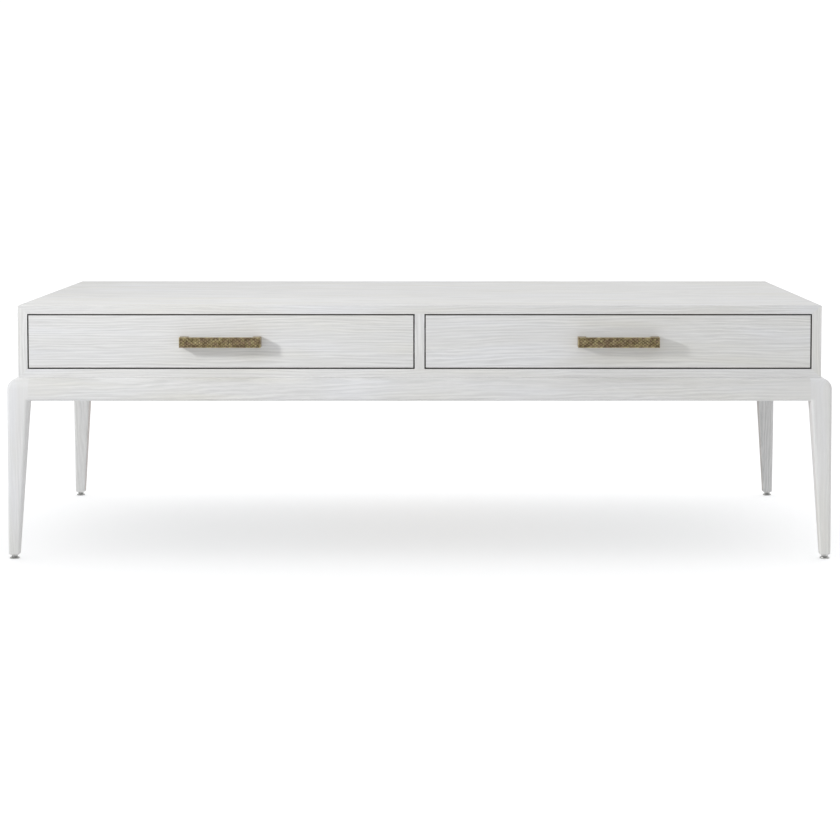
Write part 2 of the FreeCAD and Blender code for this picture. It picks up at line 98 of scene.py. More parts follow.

# For each oak piece: the axis of its grain, the heart of its trunk in metres, how
# far the trunk leans in degrees, how much lighter or darker the piece is, which is
# partly painted light and shade that evens out how the light falls (the rear left
# leg lighter, the rear right leg darker), and how strong its rings are. In a glued
# panel the heart is taken from each board's middle
OAK_BOARDS = {
    "case_top_panel": ("x", (0.4, -0.03, 0.375), (0.0, 0.2, 0.5), -0.003, 0.8),
    "case_bottom_panel": ("x", (1.3, 0.02, 0.24), (0.0, 0.3, 0.3), 0.045, 0.9),
    "case_back_panel": ("x", (2.1, 0.20, 0.30), (0.0, 0.3, 0.3), 0.0, 1.0),
    "base_front_apron": ("x", (0.7, -0.26, 0.12), (0.0, 0.5, 1.6), 0.0, 0.9),
    "base_rear_apron": ("x", (3.4, 0.27, 0.13), (0.0, 0.4, 1.3), 0.0, 0.9),
    "left_drawer_front": ("x", (0.2, -0.21, 0.08), (0.0, 0.25, 0.6), -0.010, 1.0),
    "right_drawer_front": ("x", (5.1, -0.24, 0.13), (0.0, -0.2, 0.5), -0.006, 1.0),
    "base_left_apron": ("y", (-0.62, 0.4, 0.13), (0.4, 0.0, 1.2), 0.0, 0.9),
    "base_right_apron": ("y", (0.62, 3.4, 0.12), (0.4, 0.0, 1.2), 0.0, 0.9),
    "case_left_side": ("z", (-0.60, 0.02, 2.2), (0.4, 0.4, 0.0), 0.035, 1.0),
    "case_right_side": ("z", (0.60, -0.02, 0.7), (0.4, 0.4, 0.0), 0.035, 1.0),
    "case_center_divider": ("z", (0.16, 0.05, 1.2), (0.3, 0.3, 0.0), 0.010, 1.0),
    "front_left_leg": ("z", (-0.60, -0.30, 0.8), (0.4, 0.7, 0.0), 0.035, 0.6),
    "front_right_leg": ("z", (0.62, -0.26, 3.1), (0.4, 0.7, 0.0), 0.035, 0.6),
    "rear_left_leg": ("z", (-0.60, 0.22, 1.4), (0.4, 0.7, 0.0), 0.100, 1.0),
    "rear_right_leg": ("z", (0.61, 0.30, 0.5), (0.4, 0.7, 0.0), -0.075, 1.2),
}
GLUED_PANELS = ("case_top_panel", "case_bottom_panel", "case_left_side", "case_right_side")
# Faces painted darker: the legs' inner faces, partly thinly washed and partly painted
# in shade, and the case's underside, painted grey to deepen the shade beneath the
# table. For each: which way they look, how strongly they are darkened, and which
# setting tells what they keep of their colour
THIN_WASH_AND_SHADE = {
    "rear_left_leg": ("X", 1, 1.0, "thin_wash_and_shade"),
    "rear_right_leg": ("X", -1, 1.0, "thin_wash_and_shade"),
    "front_right_leg": ("X", -1, 0.4, "thin_wash_and_shade"),
    "case_bottom_panel": ("Z", -1, 1.0, "painted_under_shade"),
}


# ---------------------------------------- settings
def colour_prop(name, description, default):
    return FloatVectorProperty(
        name=name, description=description, subtype="COLOR", default=default, min=0.0, max=1.0)


def point_prop(name, description, default):
    return FloatVectorProperty(
        name=name, description=description, subtype="XYZ", default=default)


def length_prop(name, description, default, least=0.0):
    return FloatProperty(
        name=name, description=description, default=default, unit="LENGTH", min=least,
        precision=5)


def share_prop(name, description, default):
    return FloatProperty(
        name=name, description=description, default=default, subtype="FACTOR", min=0.0, max=1.0)


def amount_prop(name, description, default):
    return FloatProperty(name=name, description=description, default=default, min=0.0)


class OakSettings(bpy.types.PropertyGroup):
    """White-washed oak"""

    ground: colour_prop("Ground", "Colour of the washed wood", (0.702, 0.702, 0.698))
    cool_wash: colour_prop(
        "Cool wash", "Colour where the wash lies thick", (0.735, 0.740, 0.752))
    warm_wash: colour_prop(
        "Warm wash", "Colour where the oak shows through", (0.706, 0.700, 0.668))
    # Partly a thin wash, partly painted shade on the legs' inner faces
    thin_wash_and_shade: colour_prop(
        "Thin wash and shade", "What the thinly washed, shaded faces keep of the colour", (0.70, 0.65, 0.63))
    # Painted shade: the case's underside is grey so that the shade on the floor beneath the table
    # deepens
    painted_under_shade: colour_prop(
        "Under shade", "What the case's underside keeps of the colour", (0.51, 0.52, 0.53))
    # Painted light: the legs get lighter towards their feet, against the light falling off
    # downwards
    painted_foot_light: amount_prop(
        "Foot light", "How much lighter the legs are towards their feet", 0.06)
    # Painted shade: the inside of the case is near-black so that the gaps read dark
    inner_gap_shade: colour_prop(
        "Inner gap shade", "Painted shade inside the case, so that the gaps read dark", (0.022, 0.022, 0.013))
    # Painted shade: the drawer fronts' edges are near-black so that the gaps read dark
    edge_gap_shade: colour_prop(
        "Edge gap shade", "Painted shade on the edges of the drawer fronts", (0.038, 0.037, 0.022))
    gap_shade_depth: length_prop(
        "Gap shade depth", "How far behind the drawer fronts the painted shade starts", 0.5 * MM)
    board_width: length_prop(
        "Board width", "Width of the boards that the panels are glued from", 145 * MM, 0.01)
    # Painted light: lifts the shade in the crease between the case and the base
    painted_corner_light: amount_prop(
        "Corner light", "How much lighter the corner under the case is painted", 0.10)
    joint_calm: share_prop(
        "Joint calm", "What is left of the figure at the joints of the base", 0.35)
    calm_reach: length_prop(
        "Calm reach", "How far from a joint the figure starts to calm down", 90 * MM, 0.001)
    ring_pitch: length_prop(
        "Ring pitch", "Distance from one growth ring to the next", 5.4 * MM, 0.0005)
    ring_contrast: share_prop(
        "Ring contrast", "How far the growth rings differ in tone", 0.15)
    streak_pitch: length_prop(
        "Streak pitch", "Distance from one brushed streak to the next", 2.6 * MM, 0.0005)
    streak_contrast: share_prop(
        "Streak contrast", "How far the streaks differ in tone", 0.22)
    band_width: length_prop("Band width", "Width of the growth bands", 26 * MM, 0.001)
    waviness: length_prop("Waviness", "How far the grain wanders sideways", 7 * MM)
    pore_width: length_prop("Pore width", "Width of the open pores", 0.35 * MM, 0.0001)
    relief: length_prop("Relief", "Depth of the brushed grain", 0.12 * MM)
    roughness: share_prop("Roughness", "Roughness of the matt lacquer", 0.52)


class InnerWoodSettings(bpy.types.PropertyGroup):
    """Woods that only show with a drawer open or from below"""

    maple_light: colour_prop(
        "Maple light", "Light tone of the drawer boxes", (0.660, 0.500, 0.320))
    maple_dark: colour_prop(
        "Maple dark", "Dark tone of the drawer boxes", (0.540, 0.375, 0.215))
    birch_light: colour_prop(
        "Birch light", "Light tone of the drawer bottoms", (0.690, 0.545, 0.370))
    birch_dark: colour_prop(
        "Birch dark", "Dark plies of the drawer bottoms", (0.420, 0.280, 0.160))
    frame_light: colour_prop(
        "Frame light", "Light tone of the blocks and the rail", (0.560, 0.430, 0.290))
    frame_dark: colour_prop(
        "Frame dark", "Dark tone of the blocks and the rail", (0.440, 0.315, 0.200))
    ply_thickness: length_prop("Ply thickness", "Thickness of one ply", 1.2 * MM, 0.0001)


class PullSettings(bpy.types.PropertyGroup):
    """Cross-hatched brass pulls"""

    diamonds_long: IntProperty(
        name="Diamonds along", description="Diamonds along the bar", default=20, min=10)
    diamonds_high: IntProperty(
        name="Diamonds high", description="Diamonds up the bar", default=3, min=1)
    groove_width: length_prop("Groove width", "Half the width of a groove", 0.45 * MM)
    groove_depth: length_prop("Groove depth", "Depth of the grooves", 0.85 * MM)
    hammer_depth: length_prop(
        "Hammer depth", "How unevenly the diamonds are struck", 0.45 * MM)
    edge_round: length_prop("Edge round", "Radius of the front edges", 1.2 * MM)
    bar_thickness: length_prop(
        "Bar thickness", "Thickness of the bar in front of the posts", 9 * MM, 0.001)
    bright_brass: colour_prop("Bright brass", "Worn high points", (0.605, 0.518, 0.288))
    brown_brass: colour_prop("Brown brass", "Aged body colour", (0.326, 0.259, 0.126))
    patina: colour_prop("Patina", "Dark patina in the grooves", (0.085, 0.064, 0.032))
    rosy_brown: colour_prop(
        "Rosy brown", "Blotches where the brass has aged to brown", (0.300, 0.205, 0.145))


class MetalSettings(bpy.types.PropertyGroup):
    """Slides, screws and glides"""

    zinc: colour_prop("Zinc", "Zinc plate of the slides", (0.560, 0.575, 0.600))
    screw_zinc: colour_prop("Screw zinc", "Plate of the screws", (0.500, 0.500, 0.490))
    nickel: colour_prop("Nickel", "Satin nickel of the glides", (0.560, 0.560, 0.550))
    ball_pitch: length_prop(
        "Ball pitch", "Distance between the balls of a slide", 8 * MM, 0.003)
    cage_plate: length_prop(
        "Cage plate", "Thickness of the ball cages' plate", 0.8 * MM, 0.0002)
    thread_pitch: length_prop(
        "Thread pitch", "Pitch of the glides' threads", 1.25 * MM, 0.0002)


class StageSettings(bpy.types.PropertyGroup):
    """Floor, light and camera"""

    floor_half: length_prop("Floor half", "Half the side of the floor", 30.0, 1.0)
    floor_glow: amount_prop("Floor glow", "How bright the floor looks in full shade", 0.488)
    floor_bounce: amount_prop("Floor bounce", "Light that the floor sheds of itself", 0.39)
    floor_colour: colour_prop(
        "Floor colour", "What the floor gives back of the light", (0.715, 0.72, 0.728))
    side_light: amount_prop("Side light", "Studio light from the left and the right", 0.498)
    rise_of_light: point_prop(
        "Rise of light", "How the studio light grows towards back and top", (0.0, 0.313, 0.583))
    backdrop: amount_prop("Backdrop", "How bright the backdrop looks", 1.05)
    key_power: amount_prop("Key power", "Power of the key light in watts", 33.8)
    key_size: length_prop("Key size", "Diameter of the key light", 0.30, 0.01)
    key_place: point_prop("Key place", "Where the key light hangs", (-1.61, -1.35, 1.09))
    key_aim: point_prop(
        "Key aim", "Point that the key light looks at", (-0.24, -1.447, 1.693))
    camera_place: point_prop(
        "Camera place", "Where the camera stands", (0.0523, -4.4361, 0.7671))
    camera_tilt: FloatProperty(
        name="Camera tilt", description="How far the camera looks down",
        default=math.radians(3.0), subtype="ANGLE")
    lens: FloatProperty(
        name="Lens", description="Focal length in millimetres", default=94.74, min=10.0)
    shift_x: FloatProperty(name="Shift across", description="Lens shift across", default=-0.0331)
    shift_y: FloatProperty(name="Shift up", description="Lens shift upwards", default=-0.190)


class TableSettings(bpy.types.PropertyGroup):
    """All settings of the table"""

    oak: PointerProperty(type=OakSettings)
    inner_wood: PointerProperty(type=InnerWoodSettings)
    pull: PointerProperty(type=PullSettings)
    metal: PointerProperty(type=MetalSettings)
    stage: PointerProperty(type=StageSettings)


# ---------------------------------------- materials
class Nodes:
    """A node tree under construction, with short ways to add and join nodes"""

    def __init__(self, tree):
        self.tree = tree

    def add(self, kind, inputs=None, **settings):
        node = self.tree.nodes.new(kind)
        for key, value in settings.items():
            setattr(node, key, value)
        for key, value in (inputs or {}).items():
            self.put(node.inputs[key], value)
        return node

    def put(self, socket, value):
        if isinstance(value, bpy.types.NodeSocket):
            self.tree.links.new(value, socket)
        else:
            socket.default_value = value

    def mapped(self, vector, scale, location=(0.0, 0.0, 0.0), turn=(0.0, 0.0, 0.0)):
        return self.add(
            "ShaderNodeMapping",
            {"Vector": vector, "Location": location, "Rotation": turn, "Scale": scale}).outputs[0]

    def noise(self, vector, detail=2.0, roughness=0.5, scale=1.0, colour=False):
        node = self.add("ShaderNodeTexNoise", {
            "Vector": vector, "Scale": scale, "Detail": detail, "Roughness": roughness})
        return node.outputs["Color" if colour else "Fac"]

    def math(self, operation, *values):
        node = self.add("ShaderNodeMath", operation=operation)
        for socket, value in zip(node.inputs, values):
            self.put(socket, value)
        return node.outputs[0]

    def vector(self, operation, *values):
        node = self.add("ShaderNodeVectorMath", operation=operation)
        for socket, value in zip(node.inputs, values):
            self.put(socket, value)
        return node.outputs[0]

    def scaled(self, vector, factor):
        node = self.add("ShaderNodeVectorMath", operation="SCALE")
        self.put(node.inputs[0], vector)
        self.put(node.inputs["Scale"], factor)
        return node.outputs[0]

    def split(self, vector):
        return self.add("ShaderNodeSeparateXYZ", {"Vector": vector}).outputs

    def along(self, vector, axis, across_scale, along_share, *detail, **more):
        """Noise that is stretched along the grain"""
        scale = along_scale(axis, across_scale, along_share)
        return self.noise(self.mapped(vector, scale), *detail, **more)

    def wander(self, vector, axis, across_scale, along_share, reach):
        """Places that drift sideways in long waves"""
        drift = self.along(vector, axis, across_scale, along_share, 2.0, colour=True)
        drift = self.vector("SUBTRACT", drift, (0.5, 0.5, 0.5))
        return self.vector("ADD", vector, self.scaled(drift, reach))

    def spread(self, value, low, high, to_low=0.0, to_high=1.0):
        return self.add("ShaderNodeMapRange", {
            "Value": value, "From Min": low, "From Max": high,
            "To Min": to_low, "To Max": to_high}, clamp=True).outputs[0]

    def blend(self, factor, low, high, mode="MIX"):
        # A Mix node's colours are its sockets 6 and 7, and the mixed one is output 2
        node = self.add("ShaderNodeMix", data_type="RGBA", blend_type=mode)
        self.put(node.inputs[0], factor)
        self.put(node.inputs[6], opaque(low))
        self.put(node.inputs[7], opaque(high))
        return node.outputs[2]


class Finish(Nodes):
    """A material under construction"""

    def __init__(self, name):
        self.material = bpy.data.materials.new(name)
        self.material.use_nodes = True
        super().__init__(self.material.node_tree)
        self.tree.nodes.clear()
        output = self.add("ShaderNodeOutputMaterial")
        self.shader = self.add("ShaderNodeBsdfPrincipled")
        self.put(output.inputs["Surface"], self.shader.outputs[0])

    def surface(self, **values):
        for key, value in values.items():
            self.put(self.shader.inputs[key.replace("_", " ")], value)
        return self.material

    def place(self):
        return self.add("ShaderNodeTexCoord").outputs["Object"]

    def normal(self):
        return self.split(self.add("ShaderNodeNewGeometry").outputs["Normal"])

    def bump(self, height, distance, strength):
        return self.add("ShaderNodeBump", {
            "Height": height, "Distance": distance, "Strength": strength}).outputs[0]


def opaque(colour):
    """A colour with its alpha, or a socket as it is"""
    if isinstance(colour, bpy.types.NodeSocket):
        return colour
    return (colour[0], colour[1], colour[2], 1.0)


def along_scale(along, across_scale, along_share):
    """Scale of a pattern that is stretched along the grain"""
    scale = [across_scale] * 3
    scale["xyz".index(along)] = across_scale * along_share
    return scale


def case_inside(finish, place, depth):
    """1 on the faces that look into the case, from a depth behind the drawer fronts"""
    low = (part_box("case_left_side")[1].x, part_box("left_drawer_front")[0].y + depth,
           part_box("case_bottom_panel")[1].z)
    high = (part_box("case_right_side")[0].x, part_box("case_back_panel")[0].y,
            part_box("case_top_panel")[0].z)
    split = finish.split(place)
    inside = 1.0
    for axis, start, end in zip("XYZ", low, high):
        away = finish.math("SUBTRACT", split[axis], (start + end) / 2)
        away = finish.math("ABSOLUTE", away)
        half = (end - start) / 2 + GAP_SHADE_BLUR / 2
        inside = finish.math(
            "MULTIPLY", inside, finish.spread(away, half, half + GAP_SHADE_BLUR, 1.0, 0.0))
    return inside


def faces_towards(finish, axis, sign):
    """1 on the faces that look along an axis, or against it"""
    return finish.spread(finish.math("MULTIPLY", finish.normal()[axis], sign), 0.80, 0.95)


def calm_at_joint(finish, place, axis, oak):
    """1 away from the joints of aprons and legs, and less at and beyond them"""
    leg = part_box("rear_right_leg")[0]
    joint = {"X": leg.x, "Y": leg.y, "Z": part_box("base_front_apron")[0].z}[axis]
    away = finish.math("ABSOLUTE", finish.split(place)[axis])
    return finish.spread(away, joint - oak.calm_reach, joint, 1.0, oak.joint_calm)


def glued_boards(finish, place, width):
    """Places as seen from the middle of their board, and each board's number"""
    number = finish.math("FLOOR", finish.math("DIVIDE", finish.split(place)["Y"], width))
    step = (BOARD_STEP * width, -width, BOARD_STEP * width)
    shift = finish.scaled(step, finish.math("ADD", number, 0.5))
    return finish.vector("ADD", place, shift), number


def oak_finish(node_name, oak, gap_shade=None):
    """White-washed brushed oak cut from a trunk that runs along one axis"""
    along, heart, lean, tone, figure = OAK_BOARDS[node_name]
    glued = node_name in GLUED_PANELS
    finish = Finish("cerused_oak_" + node_name)
    place = finish.place()
    turn = [math.radians(angle) for angle in lean]
    trunk, number = place, 0.0
    if glued:
        trunk, number = glued_boards(finish, place, oak.board_width)
    board = finish.mapped(finish.vector("SUBTRACT", trunk, heart), (1, 1, 1), turn=turn)
    grain = finish.wander(board, along, 9.0, 0.22, oak.waviness * 4)

    # Growth rings about the heart, some strong and some faint. The phase of the
    # wave texture grows by 20 for each unit of distance
    ring_scale = 2 * math.pi / 20 / oak.ring_pitch
    rings = finish.add(
        "ShaderNodeTexWave",
        {"Vector": finish.mapped(grain, along_scale(along, ring_scale, 0.10)), "Scale": 1.0,
         "Distortion": 5.5, "Detail": 1.5, "Detail Scale": 1.6, "Detail Roughness": 0.55},
        wave_type="RINGS", rings_direction=along.upper(), wave_profile="SIN").outputs["Fac"]
    strength = finish.along(grain, along, 60.0, 0.12, 1.0)
    strength = finish.spread(strength, 0.36, 0.62, 0.30, 1.0)
    rings = finish.math("MULTIPLY", finish.math("SUBTRACT", rings, 0.5), strength)

    # Growth bands, brushed streaks, fine fibres and open pores
    bands = finish.along(grain, along, 1 / oak.band_width, 0.05, 2.0)
    streaks = finish.along(grain, along, 1.8 / oak.streak_pitch, 0.020, 1.0, 0.4)
    fibres = finish.along(grain, along, 4.0 / oak.streak_pitch, 0.012, 2.0, 0.6)
    pores = finish.along(grain, along, 1 / oak.pore_width, 0.030, 1.0, 0.3)
    pores = finish.spread(pores, 0.60, 0.72)
    mottle = finish.along(board, along, 16.0, 0.20, 3.0)
    calm = 1.0
    if node_name.endswith(("apron", "leg")):
        calm = calm_at_joint(finish, place, along.upper(), oak)

    wash = finish.spread(mottle, 0.35, 0.65)
    colour = finish.blend(wash, oak.warm_wash, oak.cool_wash)
    colour = finish.blend(finish.spread(bands, 0.40, 0.62), colour, oak.ground)
    # The corner under the case is painted lighter, against the shade in the crease, and each board
    # has its own tone
    level = finish.split(place)["Z"]
    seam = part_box("case_bottom_panel")[0].z
    near = finish.math("ABSOLUTE", finish.math("SUBTRACT", level, seam))
    # The piece's tone is partly painted light and shade; the painted corner light is added near
    # the case's lower edge
    tone_and_painted_light = finish.spread(near, 0.0, CORNER_LIGHT_REACH, 1.0 + tone + oak.painted_corner_light, 1.0 + tone)
    # Painted light: the legs get lighter towards their feet, against the light falling off
    # downwards
    if node_name.endswith("leg"):
        foot = finish.spread(level, *FOOT_LIGHT_HEIGHTS, oak.painted_foot_light, 0.0)
        tone_and_painted_light = finish.math("ADD", tone_and_painted_light, foot)
    if glued:
        swing = finish.math("SINE", finish.math("MULTIPLY", number, TONE_STEP))
        tone_and_painted_light = finish.math("MULTIPLY_ADD", swing, TONE_SWING, tone_and_painted_light)
    # The noises average one half, and the tones are taken about that
    lines = finish.math("MULTIPLY", rings, oak.ring_contrast * figure)
    for pattern, contrast in (
            (streaks, oak.streak_contrast * figure), (fibres, 0.12), (bands, 0.04), (pores, 0.05)):
        centred = finish.math("SUBTRACT", pattern, 0.5)
        lines = finish.math("MULTIPLY_ADD", centred, contrast, lines)
    tone_and_painted_light = finish.math("MULTIPLY_ADD", lines, calm, tone_and_painted_light)
    colour = finish.scaled(colour, tone_and_painted_light)

    height = finish.math("MULTIPLY_ADD", rings, 0.5, finish.math("MULTIPLY", fibres, 0.35))
    height = finish.math("MULTIPLY_ADD", streaks, 0.4, height)
    height = finish.math("SUBTRACT", height, finish.math("MULTIPLY", pores, 0.5))
    height = finish.math("MULTIPLY", height, calm)
    roughness = finish.math("MULTIPLY_ADD", fibres, 0.16, oak.roughness - 0.08)
    # The legs' inner faces are darkened, partly a thin wash and partly painted shade; the case's
    # underside is painted grey to deepen the shade beneath the table
    if node_name in THIN_WASH_AND_SHADE:
        axis, sign, share, setting = THIN_WASH_AND_SHADE[node_name]
        thin_and_shaded = finish.math("MULTIPLY", faces_towards(finish, axis, sign), share)
        colour = finish.blend(thin_and_shaded, colour, getattr(oak, setting), "MULTIPLY")
    # Painted shade: near-black inside the case and on the drawer fronts' edges, so that the gaps
    # between them read dark
    if gap_shade:
        inside = case_inside(finish, place, oak.gap_shade_depth)
        colour = finish.blend(inside, colour, finish.scaled(gap_shade, tone_and_painted_light))
    return finish.surface(
        Base_Color=colour, Roughness=roughness, IOR=1.46, Specular_IOR_Level=0.35,
        Normal=finish.bump(height, oak.relief, 0.6))


def inner_wood_finish(name, along, light, dark, figure=0.02, roughness=0.42):
    """Plain lacquered wood with soft growth bands"""
    finish = Finish(name)
    place = finish.place()
    grain = finish.wander(place, along, 6.0, 0.25, figure)
    bands = finish.along(grain, along, 55.0, 0.05, 4.0, 0.6)
    fibres = finish.along(grain, along, 1400.0, 0.02, 2.0, 0.6)
    share = finish.math("MULTIPLY_ADD", fibres, 0.35, finish.spread(bands, 0.30, 0.75, 0.0, 0.8))
    colour = finish.blend(finish.math("MINIMUM", share, 1.0), light, dark)
    rough = finish.math("MULTIPLY_ADD", fibres, 0.15, roughness)
    return finish.surface(
        Base_Color=colour, Roughness=rough, Normal=finish.bump(fibres, 0.05 * MM, 0.5))


def plywood_finish(name, along, light, dark, ply):
    """Birch plywood: veneer on the faces, plies on the edges"""
    finish = Finish(name)
    place = finish.place()
    bands = finish.along(place, along, 38.0, 0.07, 4.0, 0.6)
    fibres = finish.along(place, along, 1200.0, 0.02, 2.0)
    veneer = finish.blend(finish.spread(bands, 0.3, 0.8, 0.0, 0.45), light, dark)
    layer = finish.math("FRACT", finish.math("DIVIDE", finish.split(place)["Z"], 2 * ply))
    plies = finish.blend(finish.math("GREATER_THAN", layer, 0.5), light, dark)
    flat = finish.math("GREATER_THAN", finish.math("ABSOLUTE", finish.normal()["Z"]), 0.7)
    colour = finish.blend(flat, plies, veneer)
    rough = finish.math("MULTIPLY_ADD", fibres, 0.15, 0.36)
    return finish.surface(
        Base_Color=colour, Roughness=rough, Normal=finish.bump(fibres, 0.04 * MM, 0.4))


def brass_finish(name, pull):
    """Aged brass: dark grooves, brown body, worn high points"""
    finish = Finish(name)
    place = finish.place()
    hollow, struck = (
        finish.add("ShaderNodeAttribute", attribute_name=name).outputs["Fac"]
        for name in ("hollow", "struck"))
    clouds = finish.noise(place, 3.0, 0.6, scale=95.0)
    grime = finish.noise(place, 4.0, 0.65, scale=620.0)
    scuffs = finish.noise(finish.mapped(place, (420.0, 1900.0, 1900.0)), 2.0, 0.6)
    # Blotches and stains are taken from other places, so that they don't coincide
    elsewhere = finish.mapped(place, (1, 1, 1), (0.3, 0.7, 0.1))
    blotches = finish.noise(elsewhere, 2.0, 0.55, scale=170.0)
    elsewhere = finish.mapped(place, (1, 1, 1), (0.9, 0.2, 0.6))
    stains = finish.noise(elsewhere, 1.0, scale=130.0)
    worn = finish.math("MULTIPLY_ADD", clouds, 1.3, finish.math("MULTIPLY", struck, 0.40))
    worn = finish.spread(worn, 0.55, 1.12)
    colour = finish.blend(worn, pull.brown_brass, pull.bright_brass)
    colour = finish.blend(finish.spread(blotches, 0.44, 0.58, 0.0, 0.7), colour, pull.rosy_brown)
    dirty = finish.math("MULTIPLY_ADD", hollow, 0.56, finish.spread(grime, 0.50, 0.74, 0.0, 0.55))
    dirty = finish.math("ADD", dirty, finish.spread(stains, 0.48, 0.60, 0.0, 0.30))
    dirty = finish.math("MINIMUM", dirty, 1.0)
    colour = finish.blend(dirty, colour, pull.patina)
    rough = finish.math("MULTIPLY_ADD", scuffs, 0.2, 0.27)
    rough = finish.math("MULTIPLY_ADD", dirty, 0.28, rough)
    height = finish.math("MULTIPLY_ADD", scuffs, 0.4, grime)
    return finish.surface(
        Base_Color=colour, Metallic=0.85, Roughness=rough,
        Normal=finish.bump(height, 0.10 * MM, 0.7))


def plated_finish(name, colour, roughness, brushed=None, clouding=0.12):
    """Plated steel with soft clouds, handling marks and fine brushing"""
    finish = Finish(name)
    place = finish.place()
    clouds = finish.noise(place, 3.0, 0.6, scale=60.0)
    scale = along_scale(brushed, 2400.0, 0.02) if brushed else (1500.0, 1500.0, 1500.0)
    marks = finish.noise(finish.mapped(place, scale), 2.0, 0.6)
    dark = tuple(c * (1 - clouding) for c in colour)
    tint = tuple(min(1.0, c * (1 + clouding * 0.6)) for c in colour)
    shade = finish.blend(finish.spread(clouds, 0.3, 0.7), dark, tint)
    rough = finish.math("MULTIPLY_ADD", marks, 0.22, roughness - 0.08)
    return finish.surface(
        Base_Color=shade, Metallic=1.0, Roughness=rough,
        Normal=finish.bump(marks, 0.02 * MM, 0.5))


# ---------------------------------------- mesh helpers
def new_verts(bm, known):
    return [vert for vert in bm.verts if vert not in known]


def turn_about(bm, verts, degrees, axis):
    bmesh.ops.rotate(
        bm, verts=verts, cent=(0, 0, 0), matrix=Matrix.Rotation(math.radians(degrees), 3, axis))


def aim(place, direction):
    """Matrix that takes the local +Z axis to a direction at a place"""
    turn = Vector((0, 0, 1)).rotation_difference(Vector(direction))
    return Matrix.Translation(place) @ turn.to_matrix().to_4x4()


def lathe(bm, outline, steps):
    """Turns an outline of (radius, height) points about the local Z axis"""
    known = set(bm.verts)
    verts = [bm.verts.new((radius, 0, height)) for radius, height in outline]
    edges = [bm.edges.new(pair) for pair in zip(verts, verts[1:])]
    bmesh.ops.spin(
        bm, geom=verts + edges, cent=(0, 0, 0), axis=(0, 0, 1), dvec=(0, 0, 0),
        angle=2 * math.pi, steps=steps, use_merge=True, use_duplicate=False)
    bmesh.ops.remove_doubles(bm, verts=new_verts(bm, known), dist=ON_PLANE)
    return new_verts(bm, known)


def box_of(bm, low, high):
    """A box between two corners"""
    made = bmesh.ops.create_cube(bm, size=1.0)["verts"]
    size = [b - a for a, b in zip(low, high)]
    middle = [(a + b) / 2 for a, b in zip(low, high)]
    bmesh.ops.scale(bm, vec=size, verts=made)
    bmesh.ops.translate(bm, vec=middle, verts=made)
    return made


def bevel_edges(bm, edges, width, segments=2):
    bmesh.ops.bevel(
        bm, geom=edges, offset=width, offset_type="OFFSET", affect="EDGES",
        segments=segments, profile=0.5, material=-1)


def shade_by_angle(bm, limit):
    for face in bm.faces:
        face.smooth = True
    for edge in bm.edges:
        edge.smooth = len(edge.link_faces) == 2 and edge.calc_face_angle() < limit


def finish_piece(name, bm, material, node_name, limit=math.radians(32)):
    """Turns a bmesh into a piece that rides with, and stands for, a CAD node"""
    bmesh.ops.recalc_face_normals(bm, faces=bm.faces)
    shade_by_angle(bm, limit)
    mesh = bpy.data.meshes.new(name)
    bm.to_mesh(mesh)
    bm.free()
    mesh.materials.append(material)
    piece = bpy.data.objects.new(name, mesh)
    bpy.context.scene.collection.objects.link(piece)
    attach(piece, frame["nodes"][node_name]["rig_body"])
    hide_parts(node_name)


def dress(node_name, material):
    """Gives a CAD node its finish"""
    node = frame["nodes"][node_name]
    node.data.materials.clear()
    node.data.materials.append(material)


# ---------------------------------------- pieces
def cross_hatched_bar(bm, length, height, settings, rng):
    """The bar's front: a field of raised diamonds with grooves between them"""
    inset = settings.edge_round
    field = (length - 2 * inset, height - 2 * inset)
    columns, rows = settings.diamonds_long, settings.diamonds_high
    # A square grid turned by 45 degrees, stretched until the diamonds fit
    cells = columns + rows
    bmesh.ops.create_grid(bm, x_segments=cells, y_segments=cells, size=cells / 2)
    turn_about(bm, bm.verts, 45, "Z")
    diagonal = math.sqrt(2)
    offset = diagonal / 2 if (columns + rows + cells) % 2 else 0.0
    bmesh.ops.translate(bm, verts=bm.verts, vec=(offset, 0, 0))
    bmesh.ops.scale(
        bm, verts=bm.verts,
        vec=(field[0] / columns / diagonal, field[1] / rows / diagonal, 1))
    for axis, half in ((Vector((1, 0, 0)), field[0] / 2), (Vector((0, 1, 0)), field[1] / 2)):
        for side in (-1, 1):
            bmesh.ops.bisect_plane(
                bm, geom=bm.verts[:] + bm.edges[:] + bm.faces[:], dist=ON_PLANE,
                plane_co=axis * half * side, plane_no=axis * side, clear_outer=True)
    bmesh.ops.remove_doubles(bm, verts=bm.verts, dist=MERGE)

    hollow = bm.faces.layers.float.new("hollow")
    struck = bm.faces.layers.float.new("struck")
    pads = bm.faces[:]
    for face in pads:
        face[struck] = rng.random()
    # The floor of the grooves, the diamonds' walls and the slopes of their crowns
    for width_share, depth_share, dirt in ((1.0, 0.0, 1.0), (0.7, 0.8, 0.35), (1.6, 0.2, 0.0)):
        ring = bmesh.ops.inset_individual(
            bm, faces=pads, thickness=settings.groove_width * width_share,
            depth=settings.groove_depth * depth_share, use_even_offset=True)["faces"]
        for face in ring:
            face[hollow] = dirt
    for face in pads:
        face[hollow] = 0.0
        # Each diamond is struck a little differently
        lean = Vector((rng.uniform(-1, 1), rng.uniform(-1, 1))) * settings.hammer_depth
        middle = face.calc_center_median()
        reach = max((vert.co - middle).length for vert in face.verts)
        for vert in face.verts:
            away = (vert.co - middle) / reach
            vert.co.z += lean.x * away.x + lean.y * away.y - settings.hammer_depth * 0.5
    border = [edge for edge in bm.edges if edge.is_boundary]
    return border, hollow


def back_faces(bm, thickness):
    """The faces that close the bar at its back"""
    return [
        face for face in bm.faces if all(vert.co.z < MERGE - thickness for vert in face.verts)]


